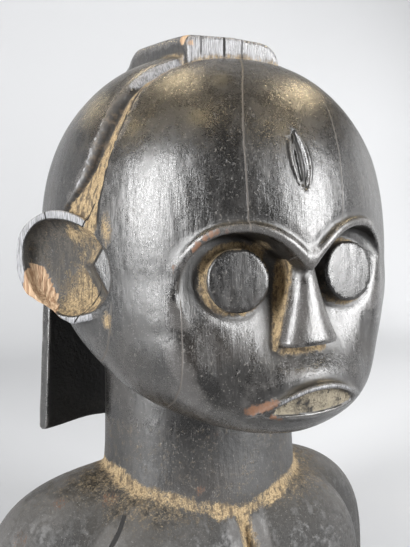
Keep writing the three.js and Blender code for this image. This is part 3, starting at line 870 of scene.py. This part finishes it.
class Paint:
    """A material's nodes."""

    def __init__(self, name):
        self.material = bpy.data.materials.new(name)
        self.material.use_nodes = True
        self.tree = self.material.node_tree
        self.tree.nodes.clear()

    def node(self, kind, settings=None, values=None, output=0):
        made = self.tree.nodes.new(kind)
        for key, value in (settings or {}).items():
            setattr(made, key, value)
        for key, value in (values or {}).items():
            if isinstance(value, Wire):
                self.tree.links.new(value.socket, made.inputs[key])
            else:
                made.inputs[key].default_value = value
        return Wire(self, made.outputs[output]) if len(made.outputs) else made

    def object_place(self):
        return self.node("ShaderNodeTexCoord", output="Object")

    def attribute(self, name):
        return self.node("ShaderNodeAttribute", {"attribute_name": name}, output="Fac")

    def stretched(self, place, x, y, z):
        return self.node("ShaderNodeVectorMath", {"operation": "MULTIPLY"}, {0: place, 1: (x, y, z)})

    def noise(self, place, scale, detail=3.0, roughness=0.55, warp=0.0):
        values = {"Vector": place, "Scale": scale, "Detail": detail, "Roughness": roughness, "Distortion": warp}
        return self.node("ShaderNodeTexNoise", values=values, output="Fac")

    def step(self, value, low, high):
        settings = {"interpolation_type": "SMOOTHSTEP"}
        return self.node("ShaderNodeMapRange", settings, {"Value": value, "From Min": low, "From Max": high})

    def up_to(self, value, last, soft):
        """One up to a place, and none past a soft edge."""
        return 1.0 - self.step(value, last, last + soft)

    def line(self, away, half, soft):
        """One on a line, from the distance to it."""
        return self.up_to(away.math("ABSOLUTE"), half, soft)

    def mix(self, share, first, second):
        settings = {"data_type": "RGBA"}
        pairs = {0: share, 6: first, 7: second}
        return self.node("ShaderNodeMix", settings, pairs, output=2)

    def finish(self, values):
        surface = self.node("ShaderNodeBsdfPrincipled", values=values)
        self.node("ShaderNodeOutputMaterial", values={"Surface": surface})
        return self.material


def split(paint, place):
    return [paint.node("ShaderNodeSeparateXYZ", values={"Vector": place}, output=axis) for axis in "XYZ"]


# Colours of the wood and of what lies on it, and of painted sheen, glints, highlights and shade, the darker
# first where there are two
PATINA = (0.0060, 0.0057, 0.0055, 1), (0.0125, 0.0118, 0.0112, 1)
# The first of these is a painted grey sheen
PAINTED_SHEEN_GREY, SMOKED, BROWNED = (0.026, 0.0246, 0.0234, 1), (0.010, 0.0092, 0.0086, 1), (0.034, 0.026, 0.020, 1)
SETTLED_DUST, PALE_FLECK = (0.046, 0.038, 0.026, 1), (0.16, 0.15, 0.135, 1)
# Of these, the second is the lighter grey of worn edges and of painted highlights, the third a painted warm
# glint
SCRATCHED, WORN_AND_HIGHLIGHT_GREY, PAINTED_GLINT_GOLD = (0.13, 0.125, 0.12, 1), (0.115, 0.110, 0.106, 1), (0.10, 0.078, 0.036, 1)
BOWL_WOOD = (0.013, 0.0105, 0.008, 1), (0.062, 0.052, 0.038, 1)
WALL_WOOD = (0.010, 0.0075, 0.0055, 1), (0.075, 0.052, 0.030, 1)
# Silver grey, used both for weathered wood and for painted highlights
SILVER_AND_HIGHLIGHT_WOOD = (0.08, 0.08, 0.085, 1), (0.33, 0.335, 0.355, 1)
OCHRE, OCHRE_STAIN = ((0.21, 0.142, 0.068, 1), (0.50, 0.375, 0.205, 1)), (0.050, 0.034, 0.020, 1)
RUBBED_BROWN = (0.150, 0.060, 0.020, 1)
BARE_BROWN, BARE_PALE = (0.30, 0.165, 0.080, 1), (0.60, 0.42, 0.26, 1)
CRUST, CRUST_PIT = ((0.055, 0.044, 0.030, 1), (0.26, 0.225, 0.160, 1)), (0.010, 0.008, 0.006, 1)
# Painted shade for the inner face of the nape flap
PAINTED_FLAP_SHADE = (0.005, 0.0048, 0.0046, 1), (0.026, 0.023, 0.020, 1)
HAIRLINE, OPEN_CRACK = (0.075, 0.060, 0.046, 1), (0.0015, 0.0012, 0.001, 1)
# Worm holes, each a place in mm and a radius
HOLES = [((-87.0, -70.7, 270.6), 0.7), ((38.2, -124.6, 212.7), 0.55), ((-105.9, -49.9, 200.6), 0.6)]


def hairline_cracks(paint, x, y, z, wander):
    """Thin cracks down the forehead, cheek and temple."""
    above = paint.step(z, 226.0, 230.0) * paint.up_to(z, 322.0, 4.0) * paint.up_to(y, -75.0, 5.0)
    arc = ((z - 250.0) * (1.0 / 74.0)).math("MAXIMUM", 0.0) ** 2.5
    brow = paint.line(x + 31.5 - arc * 21.0 + wander * 0.4, 0.12, 0.38) * above
    thin = paint.line(x - 18.5 - (z - 262.0) * 0.085 + wander * 0.4, 0.15, 0.45)
    thin = thin * above * paint.step(z, 232.0, 238.0)
    cheek = paint.line(x + 56.7 + wander * 0.5, 0.08, 0.34) * paint.up_to(y, -62.0, 4.0)
    cheek = cheek * paint.up_to(z, 198.0, 4.0) * paint.step(z, 128.0, 140.0)
    temple = paint.line(x + 82.0 + wander * 0.5, 0.10, 0.40) * paint.up_to(z, 196.0, 4.0)
    temple = temple * paint.step(z, 140.0, 150.0) * paint.up_to(y, -10.0, 4.0)
    return (brow + thin * 0.7 + cheek + temple * 0.7).math("MINIMUM", 1.0)


def deep_cracks(paint, place, x, y, z, wander, cuts):
    """Open cracks in the ledge, chest, crest, scar and ear, and the worm holes."""
    ledge = (paint.attribute("ledge_crack") - 0.5) * 10.0 + (cuts - 0.5) * 2.6 - 0.7
    ledge = paint.line(ledge, 0.55, 0.45) * paint.attribute("crack_reach")
    chest = paint.line(x + 63.5 - (z - 77.7) * 0.8 + wander * 0.5, 0.75, 0.5)
    chest = chest * paint.up_to(z, 77.0, 2.0) * paint.step(z, 48.0, 56.0) * paint.up_to(y, -28.0, 4.0)
    checks = paint.line(x + 15.9 + wander * 0.15, 0.45, 0.4)
    checks = checks + paint.line(x + 29.2, 0.15, 0.35) + paint.line(x + 5.3, 0.15, 0.35)
    checks = checks * (paint.up_to(y, -77.0, 1.5) * paint.step(z, 325.0, 327.0))
    scar = paint.line(x + 2.3 + (z - 216.0) * 0.0647, 0.25, 0.5) * paint.step(z, 251.0, 255.0)
    scar = scar * paint.up_to(z, 271.0, 4.0) * paint.up_to(y, -100.0, 5.0) * 0.8
    ear = (paint.attribute("ear_crack") - 0.5) * 10.0 + (cuts - 0.5) * 2.0
    ear = paint.line(ear, 0.18, 0.40) * paint.attribute("ear_crack_reach")
    deep = (ledge + chest + ear + scar + checks).math("MINIMUM", 1.0)
    holes = 0.0
    for at, radius in HOLES:
        away = paint.node("ShaderNodeVectorMath", {"operation": "DISTANCE"}, {0: place, 1: at}, output="Value")
        holes = paint.up_to(away, radius, 0.35) + holes
    return (deep + holes).math("MINIMUM", 1.0)


def blackened_wood():
    paint = Paint("blackened_wood")
    place = paint.stretched(paint.object_place(), 1.0 / MM, 1.0 / MM, 1.0 / MM)
    x, y, z = split(paint, place)
    upright = paint.stretched(place, 1.0, 1.0, 0.07)
    broad = paint.noise(place, 0.022, 3.0, 0.5)
    mottle = paint.noise(paint.stretched(place, 1.0, 1.0, 0.55), 0.085, 5.0, 0.62, 0.6)
    streak = paint.noise(upright, 0.55, 4.0, 0.6, 0.3)
    grain = paint.noise(upright, 1.9, 3.0, 0.6)
    cuts = paint.noise(paint.stretched(place, 1.0, 1.0, 0.35), 0.16, 1.0, 0.5)
    grit = paint.noise(place, 1.5, 4.0, 0.7)
    fleck = paint.noise(paint.stretched(place, 1.0, 1.0, 0.6), 1.0, 2.0, 0.55, 1.2)
    turn = {"Vector": place, "Rotation": (0.4, 0.9, 0.3)}
    scuff_way = paint.node("ShaderNodeVectorRotate", {"rotation_type": "EULER_XYZ"}, turn)
    scuff = paint.noise(paint.stretched(scuff_way, 1.0, 0.06, 1.0), 0.9, 2.0, 0.5)
    crumb = paint.noise(place, 1.1, 4.0, 0.7)
    clump = paint.noise(place, 0.30, 4.0, 0.6)

    names = ("shade", "bowl", "flap_shade", "brown_wall", "dust", "silver_and_highlight", "wear_and_highlight", "raw", "rub", "painted_glint", "crust")
    shade, bowl, flap_shade, wall, dust, silver_and_highlight, wear_and_highlight, raw, rub, painted_glint, crust = map(paint.attribute, names)
    wear_and_highlight_share = wear_and_highlight
    dust = paint.step(dust + (crumb - 0.5) * 0.9 + (clump - 0.5) * 1.0, 0.24, 0.72)
    silver_and_highlight = paint.step(silver_and_highlight + (grain - 0.5) * 0.5 + (mottle - 0.5) * 0.4, 0.30, 0.60)
    wear_and_highlight = paint.step(wear_and_highlight + (mottle - 0.5) * 0.9 + (grit - 0.5) * 0.4, 0.45, 0.95)
    raw = paint.step(raw + (grain - 0.5) * 0.5, 0.35, 0.6)
    rub = paint.step(rub + (crumb - 0.5) * 1.1 + (streak - 0.5) * 0.9, 0.30, 0.80)
    painted_glint = paint.step(painted_glint + (mottle - 0.5) * 1.6 + (crumb - 0.5) * 0.8, 0.35, 1.3)
    crust = paint.step(crust + (grit - 0.5) * 0.2, 0.3, 0.6)
    pale = paint.step(fleck + (clump - 0.5) * 0.12, 0.635, 0.69)
    scratch = paint.step(scuff, 0.675, 0.72) * 0.7

    colour = paint.mix(paint.step(broad, 0.3, 0.7), *PATINA)
    # Lighter grey in random mottled patches, a painted sheen
    colour = paint.mix(paint.step(mottle, 0.42, 0.70) * 0.75, colour, PAINTED_SHEEN_GREY)
    colour = paint.mix(paint.step(streak, 0.52, 0.72) * 0.35, colour, SMOKED)
    colour = paint.mix(paint.step(broad, 0.54, 0.68) * 0.25, colour, BROWNED)
    colour = paint.mix(paint.attribute("upward") * 0.32, colour, SETTLED_DUST)
    colour = paint.mix(pale * 0.55, colour, PALE_FLECK)
    bowl_wood = paint.mix(paint.step(streak + (crumb - 0.5) * 0.6, 0.40, 0.64), *BOWL_WOOD)
    colour = paint.mix(bowl * 0.85, colour, bowl_wood)
    colour = paint.mix(scratch, colour, SCRATCHED)
    # Lighter grey for worn edges and for painted highlights
    colour = paint.mix(wear_and_highlight * 0.55, colour, WORN_AND_HIGHLIGHT_GREY)
    # Painted warm glints, golden
    colour = paint.mix(painted_glint * 0.45, colour, PAINTED_GLINT_GOLD)
    colour = paint.mix(wall * 0.9, colour, paint.mix(paint.step(clump, 0.45, 0.65), *WALL_WOOD))
    # Silver grey, partly weathering and partly painted highlight
    colour = paint.mix(silver_and_highlight * 0.9, colour, paint.mix(paint.step(grain, 0.36, 0.60), *SILVER_AND_HIGHLIGHT_WOOD))
    stain = paint.step(streak + (clump - 0.5) * 1.1 + (crumb - 0.5) * 0.5, 0.47, 0.68)
    ochre = paint.mix(stain * 0.85, paint.mix(paint.step(crumb, 0.32, 0.68), *OCHRE), OCHRE_STAIN)
    colour = paint.mix(dust * 0.92, colour, ochre)
    colour = paint.mix(rub * 0.85, colour, RUBBED_BROWN)
    bare = paint.mix(paint.step(streak, 0.35, 0.65), BARE_PALE, BARE_BROWN)
    colour = paint.mix(raw * 0.95, colour, bare)
    clot = paint.mix(paint.step(crumb + (mottle - 0.5) * 1.2, 0.30, 0.66), *CRUST)
    clot = paint.mix(paint.step(clump + (crumb - 0.5) * 0.6, 0.58, 0.66), clot, CRUST_PIT)
    colour = paint.mix(crust, colour, clot)
    # Painted shade on the flap's inner face
    flap_shade_colour = paint.mix(paint.step(clump + (mottle - 0.5) * 1.2, 0.50, 0.80), *PAINTED_FLAP_SHADE)
    colour = paint.mix(flap_shade * 0.9, colour, flap_shade_colour)
    wander = (mottle - 0.5) * 3.0
    thin = hairline_cracks(paint, x, y, z, wander)
    colour = paint.mix(thin * 0.55, colour, HAIRLINE)
    deep = deep_cracks(paint, place, x, y, z, wander, cuts)
    colour = paint.mix(deep, colour, OPEN_CRACK)

    gloss = 0.28 + (mottle - 0.5) * 0.26 + (streak - 0.5) * 0.12 + paint.step(grit, 0.4, 0.75) * 0.16
    gloss = gloss + paint.up_to(z, 108.0, 16.0) * (0.16 + (crumb - 0.5) * 0.5)
    grime = paint.step(mottle + (clump - 0.5) * 0.6, 0.36, 0.56)
    gloss = gloss + paint.up_to(z, 70.0, 22.0) * (grime * 0.30 + 0.14) - wear_and_highlight_share * 0.09
    gloss = gloss + shade * 0.15 + flap_shade * 0.35 + wall * 0.5 + silver_and_highlight * 0.12 + rub * 0.40
    rough = gloss + pale * 0.2 + bowl * 0.3
    for cover, dull in ((dust, 0.92), (raw, 0.75), (crust, 0.95)):
        rough = rough * (1.0 - cover) + cover * dull
    rough = (rough + deep + thin * 0.45).math("MINIMUM", 0.97).math("MAXIMUM", 0.20)

    dents = paint.noise(place, 0.24, 1.5, 0.5)
    height = (cuts - 0.5) * 0.32 + (dents - 0.5) * 0.16 + (streak - 0.5) * 0.10
    height = height + (grain - 0.5) * 0.09 + (grit - 0.5) * 0.09
    height = height + dust * (crumb - 0.3) * 0.5 + crust * (clump - 0.5) * 1.4 + raw * (streak - 0.5) * 1.6
    height = height - scratch * 0.05 - thin * 0.08 - deep * 0.5
    height = height + silver_and_highlight * (grain - 0.5) * 0.3 + flap_shade * (clump - 0.5) * 1.2
    normal = paint.node("ShaderNodeBump", values={"Height": height, "Distance": MM, "Strength": 1.0})
    return paint.finish({"Base Color": colour, "Roughness": rough, "Normal": normal, "Specular IOR Level": 1.0})


figure.data.materials.append(blackened_wood())

# Studio
# Lamps for the glints on the forehead, one for each of the first painted glint spots
GLINT_POWERS = [18, 20, 9, 7, 9, 4]
CAMERA_AT = (-0.15769, -0.37668, 0.216)
CAMERA_TURN, CAMERA_DIP, CAMERA_ROLL = (math.radians(a) for a in (23.5, 0.8, 0.5))
PHOTO_TALL, FOCAL = 547, 620.06


def photo_camera():
    data = bpy.data.cameras.new("photo_camera")
    data.lens = FOCAL * data.sensor_width / PHOTO_TALL
    data.clip_start = 0.01
    camera = bpy.data.objects.new("photo_camera", data)
    ahead = Vector((math.sin(CAMERA_TURN), math.cos(CAMERA_TURN), -math.tan(CAMERA_DIP))).normalized()
    right = Vector((math.cos(CAMERA_TURN), -math.sin(CAMERA_TURN), 0.0))
    up = right.cross(ahead)
    cos, sin = math.cos(CAMERA_ROLL), math.sin(CAMERA_ROLL)
    frame_axes = Matrix((right * cos - up * sin, right * sin + up * cos, -ahead)).transposed()
    camera.matrix_world = Matrix.Translation(CAMERA_AT) @ frame_axes.to_4x4()
    link(camera)
    bpy.context.scene.camera = camera


def hang(data, place, aim):
    light = bpy.data.objects.new(data.name, data)
    light.location = place
    light.rotation_euler = (Vector(aim) - Vector(place)).to_track_quat("-Z", "Y").to_euler()
    link(light)


def soft_light(name, place, aim, size, power):
    data = bpy.data.lights.new(name, "AREA")
    data.shape, data.size, data.size_y = "RECTANGLE", size[0], size[1]
    data.energy = power
    hang(data, place, aim)


def lamp_for_glint(number, at, power):
    """A small warm lamp, hung where its glint falls at a place on the forehead."""
    _, slope = slope_of(np.array([at], float), carving)
    normal = Vector(slope[0]).normalized()
    place = Vector(at) * MM
    view = (Vector(CAMERA_AT) - place).normalized()
    data = bpy.data.lights.new("lamp_%d" % number, "SPOT")
    data.energy, data.color = power, (1.0, 0.80, 0.50)
    data.spot_size, data.spot_blend, data.shadow_soft_size = math.radians(12), 0.9, 0.05
    hang(data, place + (2 * view.dot(normal) * normal - view) * 1.6, place)


def sweep():
    """A pale floor that curves up behind the figure."""
    shape = bmesh.new()
    bmesh.ops.create_grid(shape, x_segments=1, y_segments=60, size=1.0)
    bend, far = 0.8, 1.9
    for vert in shape.verts:
        run = (vert.co.y + 1.0) * 3.4 - 3.0
        vert.co.x *= 5.0
        over = max(0.0, run - (far - bend))
        turn = min(over / bend, math.pi / 2)
        rise = max(0.0, over - bend * math.pi / 2)
        vert.co.y = min(run, far - bend) + bend * math.sin(turn)
        vert.co.z = bend * (1 - math.cos(turn)) + rise
    bmesh.ops.recalc_face_normals(shape, faces=shape.faces)
    mesh = bpy.data.meshes.new("sweep")
    closed(shape, mesh)
    mesh.polygons.foreach_set("use_smooth", [True] * len(mesh.polygons))
    floor = bpy.data.objects.new("sweep", mesh)
    link(floor)
    paint = Paint("pale_paper")
    across, depth, _ = split(paint, paint.object_place())
    # The paper is painted lighter to the right of the figure and near it, painted light that fills the figure's
    # shadow on the floor
    right = paint.step(across, -0.05, 0.40) * paint.up_to(depth, 0.5, 1.1)
    paper = paint.mix(right, (0.69, 0.695, 0.705, 1), (0.87, 0.875, 0.885, 1))
    # Dark in front of the figure, out of view, so that the floor throws little light up onto the figure's
    # undersides
    paper = paint.mix(paint.step(depth, -0.34, -0.04), (0.20, 0.20, 0.205, 1), paper)
    mesh.materials.append(paint.finish({"Base Color": paper, "Roughness": 0.95, "Specular IOR Level": 0.1}))


photo_camera()
sweep()
soft_light("window_left", (-1.41, -0.51, 0.585), (0, 0, 0.24), (0.42, 1.1), 38)
soft_light("window_right", (0.86, -1.23, 0.58), (0, 0, 0.22), (0.60, 1.05), 40)
for number, (spot, power) in enumerate(zip(PAINTED_GLINT_SPOTS, GLINT_POWERS)):
    lamp_for_glint(number, spot[:3], power)
soft_light("backdrop_top", (0.7, 0.7, 1.9), (0.9, 1.9, 0.6), (1.8, 0.5), 8)
soft_light("backdrop_side", (1.75, 0.85, 0.6), (1.8, 1.9, 0.4), (0.5, 1.3), 7.5)
soft_light("wall_right", (1.7, 0.25, 0.5), (0, 0, 0.25), (1.2, 1.2), 7)
soft_light("wall_left", (-1.4, 0.7, 0.5), (0, 0, 0.25), (1.2, 1.2), 2.6)
world = bpy.data.worlds.new("room")
world.use_nodes = True
background = world.node_tree.nodes["Background"].inputs
background["Color"].default_value = (0.95, 0.97, 1.0, 1.0)
background["Strength"].default_value = 0.095
bpy.context.scene.world = world
bpy.context.scene.view_settings.view_transform = "Standard"
